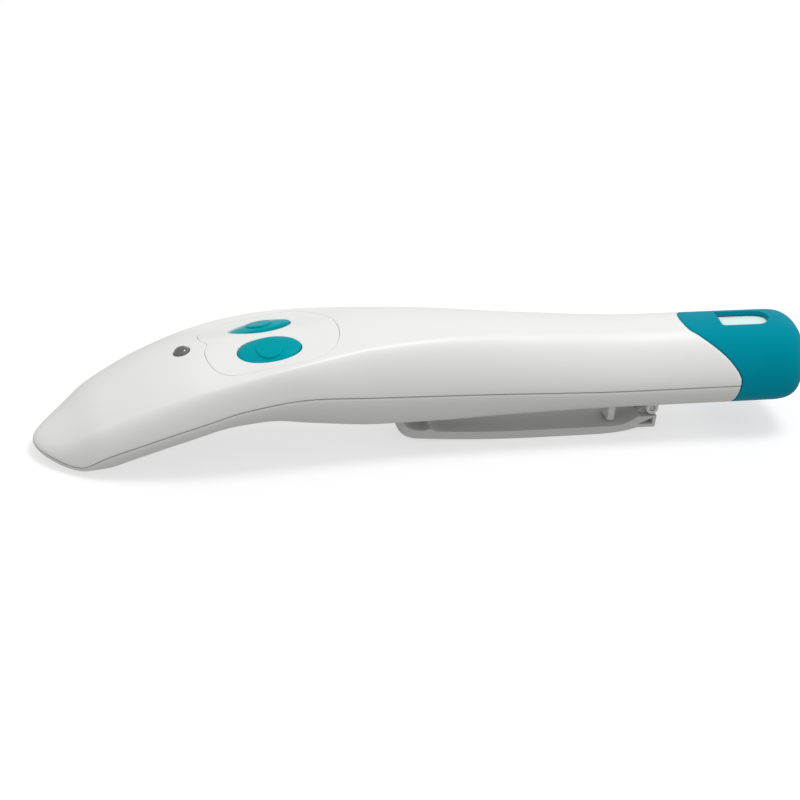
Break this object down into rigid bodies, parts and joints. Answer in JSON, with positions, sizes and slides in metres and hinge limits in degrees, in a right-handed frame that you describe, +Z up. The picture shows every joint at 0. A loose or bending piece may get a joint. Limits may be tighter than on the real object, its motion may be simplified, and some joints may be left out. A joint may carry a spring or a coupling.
{
  "type": "microchip scanner",
  "caption": "Handheld pet microchip scanner: bent white wand with a wide antenna head, oval teal keys, a status light, a teal pull-off battery cap and a sprung belt clip.",
  "frame": {"origin": "middle of the footprint, on the surface that the nose and the clip's belly stand on", "axes": "+X from the nose to the end cap, +Y across, +Z up"},
  "size_m": [0.27, 0.0498, 0.0443],
  "materials": {
    "white_shell": "satin white moulded shell",
    "pale_shell": "satin pale grey moulded shell",
    "white_inner": "matt white moulded plastic",
    "teal_cap": "soft matt teal",
    "teal_button": "satin teal",
    "smoked_lens": "clear smoked dome",
    "black_plastic": "fine black",
    "copper": "enamelled copper wire",
    "circuit_board": "green solder mask",
    "plain_steel": "bright steel",
    "red_insulation": "red insulation",
    "black_insulation": "black insulation",
    "black_rubber": "black rubber",
    "cell_jacket": "plain dark blue jacket"
  },
  "bodies": {
    "housing": {"upper_shell": "white_shell", "control_fascia": "white_shell", "lower_shell": "pale_shell", "battery_carrier": "white_inner", "antenna_connector": "white_inner", "battery_connector": "white_inner", "status_led": "smoked_lens", "left_switch": "black_plastic", "right_switch": "black_plastic", "antenna_bobbin": "black_plastic", "reader_chip": "black_plastic", "processor_chip": "black_plastic", "buzzer": "black_plastic", "antenna_coil": "copper", "main_board": "circuit_board", "crystal": "plain_steel", "radio_module": "plain_steel", "left_contact": "plain_steel", "right_contact": "plain_steel", "clip_pin": "plain_steel", "clip_spring": "plain_steel", "case_screw_1": "plain_steel", "case_screw_2": "plain_steel", "case_screw_3": "plain_steel", "case_screw_4": "plain_steel", "board_screw_1": "plain_steel", "board_screw_2": "plain_steel", "right_battery_lead": "red_insulation", "tuning_capacitor": "red_insulation", "antenna_lead": "black_insulation", "left_battery_lead": "black_insulation", "cap_grip_band": "black_rubber", "left_cell": "cell_jacket", "right_cell": "cell_jacket"},
    "end_cap": {"end_cap": "teal_cap", "bridge_contact": "plain_steel"},
    "left_button": {"left_button": "teal_button"},
    "right_button": {"right_button": "teal_button"},
    "cap_latch": {"cap_latch": "white_inner"},
    "belt_clip": {"belt_clip": "pale_shell"}
  },
  "joints": [
    {"name": "left_button_press", "type": "slide", "parent": "housing", "child": "left_button", "axis": [0.1912, 0.309, -0.9316], "range_m": [0, 0.0009], "stiffness_N_per_m": 1500, "springref_m": -0.0006},
    {"name": "right_button_press", "type": "slide", "parent": "housing", "child": "right_button", "axis": [0.1912, -0.309, -0.9316], "range_m": [0, 0.0009], "stiffness_N_per_m": 1500, "springref_m": -0.0006},
    {"name": "cap_latch_press", "type": "slide", "parent": "housing", "child": "cap_latch", "axis": [0, 0, -1], "range_m": [0, 0.0015], "stiffness_N_per_m": 1200, "springref_m": -0.0008},
    {"name": "end_cap_slide", "type": "slide", "parent": "housing", "child": "end_cap", "axis": [1, 0, 0], "range_m": [0, 0.045]},
    {"name": "belt_clip_hinge", "type": "hinge", "parent": "housing", "child": "belt_clip", "pos_m": [0.0813, 0, 0.009], "axis": [0, -1, 0], "range_deg": [0, 8], "stiffness_Nm_per_rad": 4, "springref_deg": -5.73}
  ]
}
